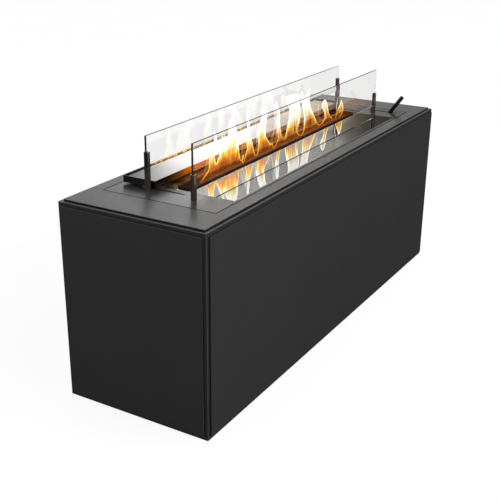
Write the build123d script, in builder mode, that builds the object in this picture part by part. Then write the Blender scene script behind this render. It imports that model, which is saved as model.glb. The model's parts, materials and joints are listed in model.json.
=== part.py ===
"""Free-standing bioethanol fireplace: a long clad box with a burner insert, two glass
panes on slotted posts, and a burner cover that slides under the rear pane when the
rocking lever is swung.

Millimetres. +Z up, +X along the long side, -Y is the front long face.
Origin: centre of the footprint, on the floor.
"""
from build123d import *
from math import sin, cos, radians
import os

os.makedirs("parts", exist_ok=True)

# ------------------------------------------------------------------ driving dimensions
BODY_L, BODY_W, BODY_H = 1200.0, 360.0, 450.0   # welded inner casing
SHELL_T = 2.0                                   # casing sheet
MARGIN = 8.0                                    # casing strip left visible round a panel
PROUD = 4.2                                     # how far every cladding sheet stands out
PANEL_T = 1.5                                   # side cladding sheet
TOP_T = 2.0                                     # top cladding sheet
SEAL_SET_BACK = 1.0                             # seal strip behind the sheet's edge

TOP_Z = BODY_H + PROUD                          # finished top surface, 454.2
FLANGE_X, FLANGE_Y = 490.0, 127.0               # half opening of the casing's top flange
FOOT_FLANGE = 25.0                              # width of the bottom return

INSERT_L, INSERT_W = 1008.0, 282.0              # burner insert outline
INSERT_GAP = 1.0                                # hairline joint round the insert
BASE_T, FACE_T = 2.0, 1.0                       # insert base plate, thin face sheets on it
MIRROR_L, MIRROR_W = 841.0, 265.0               # polished plate round the burner

RIM_L, RIM_W, RIM_R = 819.0, 34.0, 5.0          # burner slot collar, outside
RIM_T, RIM_H = 1.5, 4.0                         # its wall, and its height above the plate

TANK_L, TANK_W, TANK_Z = 850.0, 116.0, 380.0    # fuel tank outside, and its bottom
TANK_T = 1.5

GLASS_L, GLASS_T, GLASS_TOP = 923.0, 4.0, 572.4
GLASS_Y = 57.5                                  # both panes stand this far from the centre
FRONT_GLASS_H, REAR_GLASS_H = 100.0, 70.0
POST_X, POST_R = 457.0, 6.5
SLOT_DEPTH = 35.0                               # how deep a pane sits in its posts
SLOT_W = 5.8
LINER_T = 0.8

LID_L, LID_W, LID_H = 896.0, 85.0, 15.0         # sliding burner cover
LID_T, LID_LIP = 1.5, 3.0
LID_GAP = 0.6                                   # running gap over the burner rim
LID_TRAVEL = 87.5                               # open behind the burner -> closed over it

ARM_X, ARM_T = 440.0, 2.5                       # side arms of the cover
GUIDE_SLOT_W = 5.6
LEVER_SLOT_W = 7.0
ROLLER_R = 4.0

PIVOT_Y, PIVOT_Z = -78.5, 421.0                 # rocker shaft axis (along X)
SHAFT_R = 6.0
LEVER_X = 475.0
LEVER_LEAN = 35.2                               # lever lean from vertical with the cover open
CRANK_R = LID_TRAVEL / (2 * sin(radians(LEVER_LEAN)))
PIN_R = 4.0

BASE_TOP = TOP_Z - FACE_T                       # 453.2
BASE_BOT = BASE_TOP - BASE_T                    # 451.2
SHEET_TOP_BOT = TOP_Z - TOP_T                   # 452.2
FRONT_POST_TOP = GLASS_TOP - FRONT_GLASS_H + SLOT_DEPTH
REAR_POST_TOP = GLASS_TOP - REAR_GLASS_H + SLOT_DEPTH
LID_BOT = TOP_Z + RIM_H + LID_GAP               # 458.8
LID_TOP = LID_BOT + LID_H
LID_SKIN_BOT = LID_TOP - LID_LIP - LID_T        # underside of the cover's top sheet
LID_YC = LID_TRAVEL                             # cover centre when open

# ------------------------------------------------------------------ shared positions
LONG_STUDS = [(x, z) for x in (-560.0, -190.0, 190.0, 560.0) for z in (34.0, 416.0)]
END_STUDS = [(y, z) for y in (-140.0, 140.0) for z in (34.0, 416.0)]
TOP_STUDS = ([(x, y) for x in (-550.0, 550.0) for y in (-120.0, 120.0)]
             + [(x, y) for x in (-300.0, 0.0, 300.0) for y in (-157.0, 157.0)])
INSERT_STUDS = ([(x, y) for x in (-497.0, 497.0) for y in (-100.0, 100.0)]
                + [(x, y) for x in (-300.0, 0.0, 300.0) for y in (-134.0, 134.0)])
FOOT_STUDS = [(x, y) for x in (-560.0, 0.0, 560.0) for y in (-166.0, 166.0)]
TANK_STUDS = [(x, y) for x in (-400.0, -200.0, 0.0, 200.0, 400.0) for y in (-63.0, 63.0)]
POSTS_FRONT = [(-POST_X, -GLASS_Y), (POST_X, -GLASS_Y)]
POSTS_REAR = [(-POST_X, GLASS_Y), (POST_X, GLASS_Y)]
STUD_R, STUD_HOLE_R = 2.5, 3.0
M5_NUT_R, M5_NUT_H = 8.0 / 2 / cos(radians(30)), 4.0
M4_NUT_R, M4_NUT_H = 7.0 / 2 / cos(radians(30)), 3.2

# ================================================================== casing
with BuildPart() as body_shell:
    with BuildSketch(Plane.XY):
        Rectangle(BODY_L, BODY_W)
    extrude(amount=BODY_H)
    fillet(body_shell.edges().filter_by(Axis.Z), radius=1.5)
    fillet(body_shell.faces().sort_by(Axis.Z)[-1].edges(), radius=0.8)
    with BuildSketch(Plane.XY.offset(SHELL_T)):
        Rectangle(BODY_L - 2 * SHELL_T, BODY_W - 2 * SHELL_T)
    extrude(amount=BODY_H - 2 * SHELL_T, mode=Mode.SUBTRACT)
    with BuildSketch(Plane.XY.offset(BODY_H - SHELL_T)):
        Rectangle(2 * FLANGE_X, 2 * FLANGE_Y)
        with Locations(*TOP_STUDS, *INSERT_STUDS):
            Circle(STUD_HOLE_R)
    extrude(amount=SHELL_T, mode=Mode.SUBTRACT)
    with BuildSketch(Plane.XY):
        Rectangle(BODY_L - 2 * FOOT_FLANGE, BODY_W - 2 * FOOT_FLANGE)
    extrude(amount=SHELL_T, mode=Mode.SUBTRACT)
    # clearance holes for the cladding studs, through both long walls and both ends
    with BuildSketch(Plane.XZ.offset(-BODY_W / 2)):
        with Locations(*LONG_STUDS):
            Circle(STUD_HOLE_R)
    extrude(amount=BODY_W, mode=Mode.SUBTRACT)
    with BuildSketch(Plane.YZ.offset(-BODY_L / 2)):
        with Locations(*END_STUDS):
            Circle(STUD_HOLE_R)
    extrude(amount=BODY_L, mode=Mode.SUBTRACT)
body_shell.part.label = "body_shell"
export_step(body_shell.part, "parts/body_shell.step")

with BuildPart() as base_plate:
    with BuildSketch(Plane.XY.offset(SHELL_T)):
        Rectangle(BODY_L - 2 * SHELL_T - 1.0, BODY_W - 2 * SHELL_T - 1.0)
        with Locations(*FOOT_STUDS):
            Circle(STUD_HOLE_R, mode=Mode.SUBTRACT)
        with GridLocations(180.0, 120.0, 5, 2):       # air vents in the floor of the box
            SlotOverall(90.0, 8.0, mode=Mode.SUBTRACT)
    extrude(amount=2.0)
base_plate.part.label = "base_plate"
export_step(base_plate.part, "parts/base_plate.step")

with BuildPart() as base_studs:
    with BuildSketch(Plane.XY.offset(SHELL_T)):
        with Locations(*FOOT_STUDS):
            Circle(STUD_R)
    extrude(amount=11.0)
base_studs.part.label = "base_studs"
export_step(base_studs.part, "parts/base_studs.step")

# ------------------------------------------------------------------ side cladding
with BuildPart() as front_panel:
    with BuildSketch(Plane.XZ.offset(BODY_W / 2 + PROUD - PANEL_T)):
        with Locations((0, BODY_H / 2)):
            RectangleRounded(BODY_L - 2 * MARGIN, BODY_H - 2 * MARGIN, 1.0)
    extrude(amount=PANEL_T)
    fillet(front_panel.faces().sort_by(Axis.Y)[0].edges(), radius=0.4)
front_panel.part.label = "front_panel"
export_step(front_panel.part, "parts/front_panel.step")

with BuildPart() as back_panel:
    with BuildSketch(Plane.XZ.offset(-BODY_W / 2 - PROUD)):
        with Locations((0, BODY_H / 2)):
            RectangleRounded(BODY_L - 2 * MARGIN, BODY_H - 2 * MARGIN, 1.0)
    extrude(amount=PANEL_T)
    fillet(back_panel.faces().sort_by(Axis.Y)[-1].edges(), radius=0.4)
back_panel.part.label = "back_panel"
export_step(back_panel.part, "parts/back_panel.step")

with BuildPart() as left_panel:
    with BuildSketch(Plane.YZ.offset(-BODY_L / 2 - PROUD)):
        with Locations((0, BODY_H / 2)):
            RectangleRounded(BODY_W - 2 * MARGIN, BODY_H - 2 * MARGIN, 1.0)
    extrude(amount=PANEL_T)
    fillet(left_panel.faces().sort_by(Axis.X)[0].edges(), radius=0.4)
left_panel.part.label = "left_panel"
export_step(left_panel.part, "parts/left_panel.step")

with BuildPart() as right_panel:
    with BuildSketch(Plane.YZ.offset(BODY_L / 2 + PROUD - PANEL_T)):
        with Locations((0, BODY_H / 2)):
            RectangleRounded(BODY_W - 2 * MARGIN, BODY_H - 2 * MARGIN, 1.0)
    extrude(amount=PANEL_T)
    fillet(right_panel.faces().sort_by(Axis.X)[-1].edges(), radius=0.4)
right_panel.part.label = "right_panel"
export_step(right_panel.part, "parts/right_panel.step")

# black sponge frames that hold the sheets off the casing and fill the joint behind them
SEAL_W = 15.0
with BuildPart() as side_panel_seals:
    for y0 in (BODY_W / 2, -BODY_W / 2 - (PROUD - PANEL_T)):
        with BuildSketch(Plane.XZ.offset(y0)):
            with Locations((0, BODY_H / 2)):
                Rectangle(BODY_L - 2 * MARGIN - 2 * SEAL_SET_BACK,
                          BODY_H - 2 * MARGIN - 2 * SEAL_SET_BACK)
                Rectangle(BODY_L - 2 * MARGIN - 2 * SEAL_W,
                          BODY_H - 2 * MARGIN - 2 * SEAL_W, mode=Mode.SUBTRACT)
        extrude(amount=PROUD - PANEL_T)
side_panel_seals.part.label = "side_panel_seals"
export_step(side_panel_seals.part, "parts/side_panel_seals.step")

with BuildPart() as end_panel_seals:
    for x0 in (BODY_L / 2, -BODY_L / 2 - (PROUD - PANEL_T)):
        with BuildSketch(Plane.YZ.offset(x0)):
            with Locations((0, BODY_H / 2)):
                Rectangle(BODY_W - 2 * MARGIN - 2 * SEAL_SET_BACK,
                          BODY_H - 2 * MARGIN - 2 * SEAL_SET_BACK)
                Rectangle(BODY_W - 2 * MARGIN - 2 * SEAL_W,
                          BODY_H - 2 * MARGIN - 2 * SEAL_W, mode=Mode.SUBTRACT)
        extrude(amount=PROUD - PANEL_T)
end_panel_seals.part.label = "end_panel_seals"
export_step(end_panel_seals.part, "parts/end_panel_seals.step")

# weld studs on the backs of the four sheets
STUD_IN = 10.0
with BuildPart() as panel_studs:
    with BuildSketch(Plane.XZ.offset(BODY_W / 2 - STUD_IN)):
        with Locations(*LONG_STUDS):
            Circle(STUD_R)
    extrude(amount=STUD_IN + PROUD - PANEL_T)
    with BuildSketch(Plane.XZ.offset(-BODY_W / 2 - PROUD + PANEL_T)):
        with Locations(*LONG_STUDS):
            Circle(STUD_R)
    extrude(amount=STUD_IN + PROUD - PANEL_T)
    with BuildSketch(Plane.YZ.offset(BODY_L / 2 - STUD_IN)):
        with Locations(*END_STUDS):
            Circle(STUD_R)
    extrude(amount=STUD_IN + PROUD - PANEL_T)
    with BuildSketch(Plane.YZ.offset(-BODY_L / 2 - PROUD + PANEL_T)):
        with Locations(*END_STUDS):
            Circle(STUD_R)
    extrude(amount=STUD_IN + PROUD - PANEL_T)
panel_studs.part.label = "panel_studs"
export_step(panel_studs.part, "parts/panel_studs.step")

# ------------------------------------------------------------------ top cladding
with BuildPart() as top_plate:
    with BuildSketch(Plane.XY.offset(SHEET_TOP_BOT)):
        RectangleRounded(BODY_L - 2 * MARGIN, BODY_W - 2 * MARGIN, 1.0)
    extrude(amount=TOP_T)
    fillet(top_plate.faces().sort_by(Axis.Z)[-1].edges(), radius=0.4)
    with BuildSketch(Plane.XY.offset(SHEET_TOP_BOT)):
        Rectangle(INSERT_L + 2 * INSERT_GAP, INSERT_W + 2 * INSERT_GAP)
    extrude(amount=TOP_T, mode=Mode.SUBTRACT)
top_plate.part.label = "top_plate"
export_step(top_plate.part, "parts/top_plate.step")

with BuildPart() as top_plate_seal:
    with BuildSketch(Plane.XY.offset(BODY_H)):
        Rectangle(BODY_L - 2 * MARGIN - 2 * SEAL_SET_BACK,
                  BODY_W - 2 * MARGIN - 2 * SEAL_SET_BACK)
        Rectangle(INSERT_L + 4.0, INSERT_W + 4.0, mode=Mode.SUBTRACT)
        with Locations(*TOP_STUDS):
            Circle(STUD_HOLE_R, mode=Mode.SUBTRACT)
    extrude(amount=SHEET_TOP_BOT - BODY_H)
top_plate_seal.part.label = "top_plate_seal"
export_step(top_plate_seal.part, "parts/top_plate_seal.step")

with BuildPart() as top_plate_studs:
    with BuildSketch(Plane.XY.offset(SHEET_TOP_BOT)):
        with Locations(*TOP_STUDS):
            Circle(STUD_R)
    extrude(amount=-12.0)
top_plate_studs.part.label = "top_plate_studs"
export_step(top_plate_studs.part, "parts/top_plate_studs.step")

# ================================================================== burner insert
GUIDE_SLOT = (-25.0, 86.5)                      # ends of the cover's guide slots along Y
LEVER_SLOT = (-122.0, -35.0)                    # ends of the lever slot along Y


with BuildPart() as insert_base:
    with BuildSketch(Plane.XY.offset(BASE_BOT)):
        Rectangle(INSERT_L, INSERT_W)
        RectangleRounded(RIM_L + 0.4, RIM_W + 0.4, RIM_R + 0.2, mode=Mode.SUBTRACT)
        with Locations(*POSTS_FRONT, *POSTS_REAR):
            Circle(4.3, mode=Mode.SUBTRACT)
        with Locations(*[Location((sx * ARM_X, sum(GUIDE_SLOT) / 2), 90) for sx in (-1, 1)]):
            SlotOverall(GUIDE_SLOT[1] - GUIDE_SLOT[0], GUIDE_SLOT_W, mode=Mode.SUBTRACT)
        with Locations(Location((LEVER_X, sum(LEVER_SLOT) / 2), 90)):
            SlotOverall(LEVER_SLOT[1] - LEVER_SLOT[0], LEVER_SLOT_W, mode=Mode.SUBTRACT)
    extrude(amount=BASE_T)
insert_base.part.label = "insert_base"
export_step(insert_base.part, "parts/insert_base.step")

with BuildPart() as insert_trim:
    with BuildSketch(Plane.XY.offset(BASE_TOP)):
        Rectangle(INSERT_L, INSERT_W)
        Rectangle(MIRROR_L + 0.4, MIRROR_W + 0.4, mode=Mode.SUBTRACT)
        with Locations(*POSTS_FRONT, *POSTS_REAR):
            Circle(4.3, mode=Mode.SUBTRACT)
        with Locations(*[Location((sx * ARM_X, sum(GUIDE_SLOT) / 2), 90) for sx in (-1, 1)]):
            SlotOverall(GUIDE_SLOT[1] - GUIDE_SLOT[0], GUIDE_SLOT_W, mode=Mode.SUBTRACT)
        with Locations(Location((LEVER_X, sum(LEVER_SLOT) / 2), 90)):
            SlotOverall(LEVER_SLOT[1] - LEVER_SLOT[0], LEVER_SLOT_W, mode=Mode.SUBTRACT)
    extrude(amount=FACE_T)
insert_trim.part.label = "insert_trim"
export_step(insert_trim.part, "parts/insert_trim.step")

with BuildPart() as mirror_plate:
    with BuildSketch(Plane.XY.offset(BASE_TOP)):
        Rectangle(MIRROR_L, MIRROR_W)
        RectangleRounded(RIM_L + 0.4, RIM_W + 0.4, RIM_R + 0.2, mode=Mode.SUBTRACT)
    extrude(amount=FACE_T)
mirror_plate.part.label = "mirror_plate"
export_step(mirror_plate.part, "parts/mirror_plate.step")

with BuildPart() as insert_seal:
    with BuildSketch(Plane.XY.offset(BODY_H)):
        Rectangle(INSERT_L - 2.0, INSERT_W - 2.0)
        Rectangle(2 * FLANGE_X, 2 * FLANGE_Y, mode=Mode.SUBTRACT)
        with Locations(*INSERT_STUDS):
            Circle(STUD_HOLE_R, mode=Mode.SUBTRACT)
    extrude(amount=BASE_BOT - BODY_H)
insert_seal.part.label = "insert_seal"
export_step(insert_seal.part, "parts/insert_seal.step")

with BuildPart() as insert_studs:
    with BuildSketch(Plane.XY.offset(BASE_BOT)):
        with Locations(*INSERT_STUDS):
            Circle(STUD_R)
    extrude(amount=-11.0)
insert_studs.part.label = "insert_studs"
export_step(insert_studs.part, "parts/insert_studs.step")

# every M5 nut of the casing: foot plate, cladding, top sheet and insert
with BuildPart() as m5_nuts:
    with BuildSketch(Plane.XY.offset(SHELL_T + 2.0)):
        with Locations(*FOOT_STUDS):
            RegularPolygon(M5_NUT_R, 6)
            Circle(STUD_R + 0.05, mode=Mode.SUBTRACT)
    extrude(amount=M5_NUT_H)
    with BuildSketch(Plane.XY.offset(BODY_H - SHELL_T - M5_NUT_H)):
        with Locations(*TOP_STUDS, *INSERT_STUDS):
            RegularPolygon(M5_NUT_R, 6)
            Circle(STUD_R + 0.05, mode=Mode.SUBTRACT)
    extrude(amount=M5_NUT_H)
    for y0 in (BODY_W / 2 - SHELL_T - M5_NUT_H, -BODY_W / 2 + SHELL_T):
        with BuildSketch(Plane.XZ.offset(y0)):
            with Locations(*LONG_STUDS):
                RegularPolygon(M5_NUT_R, 6)
                Circle(STUD_R + 0.05, mode=Mode.SUBTRACT)
        extrude(amount=M5_NUT_H)
    for x0 in (BODY_L / 2 - SHELL_T - M5_NUT_H, -BODY_L / 2 + SHELL_T):
        with BuildSketch(Plane.YZ.offset(x0)):
            with Locations(*END_STUDS):
                RegularPolygon(M5_NUT_R, 6)
                Circle(STUD_R + 0.05, mode=Mode.SUBTRACT)
        extrude(amount=M5_NUT_H)
m5_nuts.part.label = "m5_nuts"
export_step(m5_nuts.part, "parts/m5_nuts.step")

# ------------------------------------------------------------------ burner
LIP_BOT = TOP_Z + RIM_H - 13.4                  # 444.8: ledge that carries the grid
with BuildPart() as burner_rim:
    with BuildSketch(Plane.XY.offset(LIP_BOT)):
        RectangleRounded(RIM_L, RIM_W, RIM_R)
        RectangleRounded(RIM_L - 2 * RIM_T, RIM_W - 2 * RIM_T, RIM_R - RIM_T, mode=Mode.SUBTRACT)
    extrude(amount=TOP_Z + RIM_H - LIP_BOT)
    fillet(burner_rim.faces().sort_by(Axis.Z)[-1].edges(), radius=0.5)
    with BuildSketch(Plane.XY.offset(LIP_BOT)):
        RectangleRounded(RIM_L - 1.0, RIM_W - 1.0, RIM_R - 0.5)
        RectangleRounded(RIM_L - 8.0, RIM_W - 8.0, 2.0, mode=Mode.SUBTRACT)
    extrude(amount=1.2)
    with BuildSketch(Plane.XY.offset(BASE_BOT)):
        RectangleRounded(RIM_L + 16.0, RIM_W + 16.0, 6.0)
        RectangleRounded(RIM_L - 1.0, RIM_W - 1.0, RIM_R - 0.5, mode=Mode.SUBTRACT)
    extrude(amount=-1.5)
burner_rim.part.label = "burner_rim"
export_step(burner_rim.part, "parts/burner_rim.step")

with BuildPart() as burner_grid:
    with BuildSketch(Plane.XY.offset(LIP_BOT + 1.2)):
        RectangleRounded(RIM_L - 2 * RIM_T - 0.8, RIM_W - 2 * RIM_T - 0.8, RIM_R - RIM_T - 0.4)
        with GridLocations(10.0, 9.0, 79, 3):
            Circle(2.6, mode=Mode.SUBTRACT)
    extrude(amount=1.2)
burner_grid.part.label = "burner_grid"
export_step(burner_grid.part, "parts/burner_grid.step")

TANK_FLANGE_X, TANK_FLANGE_Y = 432.0, 68.0
FLANGE_Z = BASE_BOT - 1.0 - TANK_T              # underside of the tank flange
with BuildPart() as fuel_tank:
    with BuildSketch(Plane.XY.offset(TANK_Z)):
        RectangleRounded(TANK_L, TANK_W, 6.0)
    extrude(amount=FLANGE_Z + TANK_T - TANK_Z)
    with BuildSketch(Plane.XY.offset(FLANGE_Z)):
        RectangleRounded(2 * TANK_FLANGE_X, 2 * TANK_FLANGE_Y, 6.0)
        with Locations(*TANK_STUDS):
            Circle(2.3, mode=Mode.SUBTRACT)
    extrude(amount=TANK_T)
    with BuildSketch(Plane.XY.offset(TANK_Z + TANK_T)):
        RectangleRounded(TANK_L - 2 * TANK_T, TANK_W - 2 * TANK_T, 4.5)
    extrude(amount=FLANGE_Z - TANK_Z, mode=Mode.SUBTRACT)
fuel_tank.part.label = "fuel_tank"
export_step(fuel_tank.part, "parts/fuel_tank.step")

with BuildPart() as tank_gasket:
    with BuildSketch(Plane.XY.offset(FLANGE_Z + TANK_T)):
        RectangleRounded(2 * TANK_FLANGE_X, 2 * TANK_FLANGE_Y, 6.0)
        RectangleRounded(TANK_L - 2 * TANK_T, TANK_W - 2 * TANK_T, 4.5, mode=Mode.SUBTRACT)
        with Locations(*TANK_STUDS):
            Circle(2.3, mode=Mode.SUBTRACT)
    extrude(amount=1.0)
tank_gasket.part.label = "tank_gasket"
export_step(tank_gasket.part, "parts/tank_gasket.step")

with BuildPart() as tank_studs:
    with BuildSketch(Plane.XY.offset(BASE_BOT)):
        with Locations(*TANK_STUDS):
            Circle(2.0)
    extrude(amount=-10.0)
tank_studs.part.label = "tank_studs"
export_step(tank_studs.part, "parts/tank_studs.step")

with BuildPart() as tank_nuts:
    with BuildSketch(Plane.XY.offset(FLANGE_Z - M4_NUT_H)):
        with Locations(*TANK_STUDS):
            RegularPolygon(M4_NUT_R, 6)
            Circle(2.05, mode=Mode.SUBTRACT)
    extrude(amount=M4_NUT_H)
tank_nuts.part.label = "tank_nuts"
export_step(tank_nuts.part, "parts/tank_nuts.step")

with BuildPart() as ceramic_fibre:
    with BuildSketch(Plane.XY.offset(TANK_Z + TANK_T)):
        RectangleRounded(TANK_L - 2 * TANK_T - 2.0, TANK_W - 2 * TANK_T - 2.0, 4.0)
    extrude(amount=48.0)
ceramic_fibre.part.label = "ceramic_fibre"
export_step(ceramic_fibre.part, "parts/ceramic_fibre.step")

with BuildPart() as drip_tray:
    with BuildSketch(Plane.XY.offset(TANK_Z - 14.0)):
        Rectangle(2 * 433.0, 2 * 66.0)
    extrude(amount=20.0)
    with BuildSketch(Plane.XY.offset(TANK_Z - 14.0 + 1.2)):
        Rectangle(2 * 431.8, 2 * 64.8)
    extrude(amount=20.0, mode=Mode.SUBTRACT)
drip_tray.part.label = "drip_tray"
export_step(drip_tray.part, "parts/drip_tray.step")

# ------------------------------------------------------------------ cover guides
ROLLER_Z = 400.0
ROLLER_Y = (45.0, 100.0)
GUIDE_IN, GUIDE_T = 433.0, 3.0
with BuildPart() as guide_plates:
    for x0 in (GUIDE_IN, -GUIDE_IN - GUIDE_T):
        with BuildSketch(Plane.YZ.offset(x0)):
            with Locations((24.0, (TANK_Z - 14.0 + BASE_BOT) / 2)):
                Rectangle(176.0, BASE_BOT - TANK_Z + 14.0)
            with Locations(((ROLLER_Y[0] + ROLLER_Y[1] - LID_TRAVEL) / 2, ROLLER_Z)):
                SlotCenterToCenter(ROLLER_Y[1] - ROLLER_Y[0] + LID_TRAVEL + 2.0,
                                   2 * (ROLLER_R + 0.05), mode=Mode.SUBTRACT)
        extrude(amount=GUIDE_T)
guide_plates.part.label = "guide_plates"
export_step(guide_plates.part, "parts/guide_plates.step")

BRACKETS = [(-455.0, -1), (449.5, -1), (484.0, 1)]    # inner face X, side of the bush flange
BRK_T = 3.0
with BuildPart() as shaft_brackets:
    for x0, side in BRACKETS:
        with BuildSketch(Plane.YZ.offset(x0)):
            with Locations((PIVOT_Y - 2.5, (PIVOT_Z + BASE_BOT) / 2)):
                Rectangle(26.0, BASE_BOT - PIVOT_Z)
            with Locations((PIVOT_Y, PIVOT_Z)):
                Circle(13.0)
                Circle(8.0, mode=Mode.SUBTRACT)
        extrude(amount=BRK_T)
shaft_brackets.part.label = "shaft_brackets"
export_step(shaft_brackets.part, "parts/shaft_brackets.step")

with BuildPart() as shaft_bushes:
    for x0, side in BRACKETS:
        with BuildSketch(Plane.YZ.offset(x0)):
            with Locations((PIVOT_Y, PIVOT_Z)):
                Circle(7.95)
                Circle(SHAFT_R + 0.05, mode=Mode.SUBTRACT)
        extrude(amount=BRK_T)
        with BuildSketch(Plane.YZ.offset(x0 + BRK_T if side > 0 or x0 > 0 else x0 - 2.0)):
            with Locations((PIVOT_Y, PIVOT_Z)):
                Circle(10.5)
                Circle(SHAFT_R + 0.05, mode=Mode.SUBTRACT)
        extrude(amount=2.0)
shaft_bushes.part.label = "shaft_bushes"
export_step(shaft_bushes.part, "parts/shaft_bushes.step")

# ------------------------------------------------------------------ glass posts
POST_STUD_R, POST_STUD_L = 4.0, 13.0
with BuildPart() as glass_posts_front:
    with BuildSketch(Plane.XY.offset(TOP_Z)):
        with Locations(*POSTS_FRONT):
            Circle(POST_R)
    extrude(amount=FRONT_POST_TOP - TOP_Z)
    chamfer(glass_posts_front.faces().sort_by(Axis.Z)[-2:].edges(), length=0.6)
    with BuildSketch(Plane.XY.offset(TOP_Z)):
        with Locations(*POSTS_FRONT):
            Circle(POST_STUD_R)
    extrude(amount=-POST_STUD_L)
    with BuildSketch(Plane.XY.offset(GLASS_TOP - FRONT_GLASS_H - LINER_T)):
        with Locations(*POSTS_FRONT):
            Rectangle(2 * POST_R + 2, SLOT_W)
    extrude(amount=SLOT_DEPTH + LINER_T + 2.0, mode=Mode.SUBTRACT)
glass_posts_front.part.label = "glass_posts_front"
export_step(glass_posts_front.part, "parts/glass_posts_front.step")

with BuildPart() as glass_posts_rear:
    with BuildSketch(Plane.XY.offset(TOP_Z)):
        with Locations(*POSTS_REAR):
            Circle(POST_R)
    extrude(amount=REAR_POST_TOP - TOP_Z)
    chamfer(glass_posts_rear.faces().sort_by(Axis.Z)[-2:].edges(), length=0.6)
    with BuildSketch(Plane.XY.offset(TOP_Z)):
        with Locations(*POSTS_REAR):
            Circle(POST_STUD_R)
    extrude(amount=-POST_STUD_L)
    with BuildSketch(Plane.XY.offset(GLASS_TOP - REAR_GLASS_H - LINER_T)):
        with Locations(*POSTS_REAR):
            Rectangle(2 * POST_R + 2, SLOT_W)
    extrude(amount=SLOT_DEPTH + LINER_T + 2.0, mode=Mode.SUBTRACT)
glass_posts_rear.part.label = "glass_posts_rear"
export_step(glass_posts_rear.part, "parts/glass_posts_rear.step")

with BuildPart() as post_washers:
    with BuildSketch(Plane.XY.offset(BASE_BOT)):
        with Locations(*POSTS_FRONT, *POSTS_REAR):
            Circle(8.0)
            Circle(POST_STUD_R + 0.3, mode=Mode.SUBTRACT)
    extrude(amount=-1.6)
post_washers.part.label = "post_washers"
export_step(post_washers.part, "parts/post_washers.step")

with BuildPart() as post_nuts:
    with BuildSketch(Plane.XY.offset(BASE_BOT - 1.6)):
        with Locations(*POSTS_FRONT, *POSTS_REAR):
            RegularPolygon(13.0 / 2 / cos(radians(30)), 6)
            Circle(POST_STUD_R + 0.05, mode=Mode.SUBTRACT)
    extrude(amount=-6.5)
post_nuts.part.label = "post_nuts"
export_step(post_nuts.part, "parts/post_nuts.step")

# U-shaped silicone liners between each pane and its posts
LINER_OUT = SLOT_W - 0.06
LINER_IN = LINER_OUT - 2 * LINER_T
with BuildPart() as slot_liners:
    for gh, posts in ((FRONT_GLASS_H, POSTS_FRONT), (REAR_GLASS_H, POSTS_REAR)):
        z0 = GLASS_TOP - gh - LINER_T
        with BuildSketch(Plane.XY.offset(z0)):
            with Locations(*posts):
                Rectangle(10.0, LINER_OUT)
        extrude(amount=SLOT_DEPTH + LINER_T - 1.0)
        with BuildSketch(Plane.XY.offset(z0 + LINER_T)):
            with Locations(*posts):
                Rectangle(12.0, LINER_IN)
        extrude(amount=SLOT_DEPTH, mode=Mode.SUBTRACT)
slot_liners.part.label = "slot_liners"
export_step(slot_liners.part, "parts/slot_liners.step")

# ================================================================== glass panes
with BuildPart() as glass_front:
    with BuildSketch(Plane.XZ.offset(GLASS_Y - GLASS_T / 2)):
        with Locations((0, GLASS_TOP - FRONT_GLASS_H / 2)):
            RectangleRounded(GLASS_L, FRONT_GLASS_H, 2.5)
    extrude(amount=GLASS_T)
    chamfer(glass_front.faces().sort_by(Axis.Y)[0].edges()
            + glass_front.faces().sort_by(Axis.Y)[-1].edges(), length=0.4)
glass_front.part.label = "glass_front"
export_step(glass_front.part, "parts/glass_front.step")

with BuildPart() as glass_rear:
    with BuildSketch(Plane.XZ.offset(-GLASS_Y - GLASS_T / 2)):
        with Locations((0, GLASS_TOP - REAR_GLASS_H / 2)):
            RectangleRounded(GLASS_L, REAR_GLASS_H, 2.5)
    extrude(amount=GLASS_T)
    chamfer(glass_rear.faces().sort_by(Axis.Y)[0].edges()
            + glass_rear.faces().sort_by(Axis.Y)[-1].edges(), length=0.4)
glass_rear.part.label = "glass_rear"
export_step(glass_rear.part, "parts/glass_rear.step")

# ================================================================== sliding cover
with BuildPart() as cover_lid:
    with BuildSketch(Plane.XY.offset(LID_BOT)):
        with Locations((0, LID_YC)):
            RectangleRounded(LID_L, LID_W, 1.5)
    extrude(amount=LID_H)
    with BuildSketch(Plane.XY.offset(LID_BOT)):          # hollow underside
        with Locations((0, LID_YC)):
            Rectangle(LID_L - 2 * LID_T, LID_W - 2 * LID_T)
    extrude(amount=LID_SKIN_BOT - LID_BOT, mode=Mode.SUBTRACT)
    with BuildSketch(Plane.XY.offset(LID_TOP - LID_LIP)):  # shallow recess inside the lips
        with Locations((0, LID_YC)):
            Rectangle(LID_L - 2 * LID_T, LID_W - 2 * LID_T)
    extrude(amount=LID_LIP, mode=Mode.SUBTRACT)
    fillet(cover_lid.faces().sort_by(Axis.Z)[-1].edges(), radius=0.35)
cover_lid.part.label = "cover_lid"
export_step(cover_lid.part, "parts/cover_lid.step")

with BuildPart() as cover_pad:
    with BuildSketch(Plane.XY.offset(LID_BOT)):
        with Locations((0, LID_YC)):
            Rectangle(836.0, 60.0)
    extrude(amount=LID_SKIN_BOT - LID_BOT)
cover_pad.part.label = "cover_pad"
export_step(cover_pad.part, "parts/cover_pad.step")

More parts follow.
